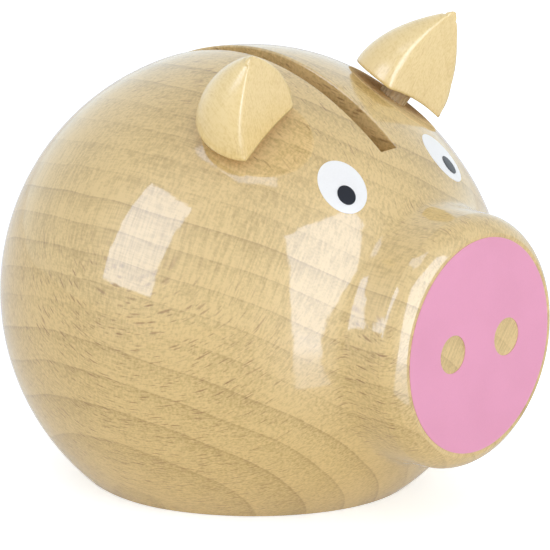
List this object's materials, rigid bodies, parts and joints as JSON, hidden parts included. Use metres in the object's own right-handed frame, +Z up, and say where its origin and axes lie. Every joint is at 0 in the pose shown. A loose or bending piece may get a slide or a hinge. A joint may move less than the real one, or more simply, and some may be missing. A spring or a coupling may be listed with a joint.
{
  "type": "wooden money box",
  "caption": "Turned wooden pig money box with a sawn coin slot, dowelled wooden ears, painted snout and eyes, and a pull-out stopper in a flat base.",
  "frame": {"origin": "middle of the object's outline, on the surface that it stands on", "axes": "+Z up, the snout points along -Y, +X is the pig's own left"},
  "size_m": [0.1, 0.1098, 0.0946],
  "materials": {
    "body_wood": "clear gloss lacquer on pale beech",
    "ear_wood": "clear satin lacquer on pale yellow wood",
    "dowel_wood": "bare fluted beech",
    "stopper_plastic": "soft moulded natural plastic",
    "pink_paint": "smooth satin pink paint",
    "white_paint": "printed gloss white paint",
    "black_paint": "printed gloss black paint"
  },
  "bodies": {
    "box": {"body": "body_wood", "ear_left": "ear_wood", "ear_right": "ear_wood", "ear_dowel_left": "dowel_wood", "ear_dowel_right": "dowel_wood", "snout_paint": "pink_paint", "eye_white_left": "white_paint", "eye_white_right": "white_paint", "pupil_left": "black_paint", "pupil_right": "black_paint"},
    "plug": {"stopper": "stopper_plastic"}
  },
  "joints": [
    {"name": "stopper_pull", "type": "slide", "parent": "box", "child": "plug", "axis": [0, 0, -1], "range_m": [0, 0.025]}
  ]
}
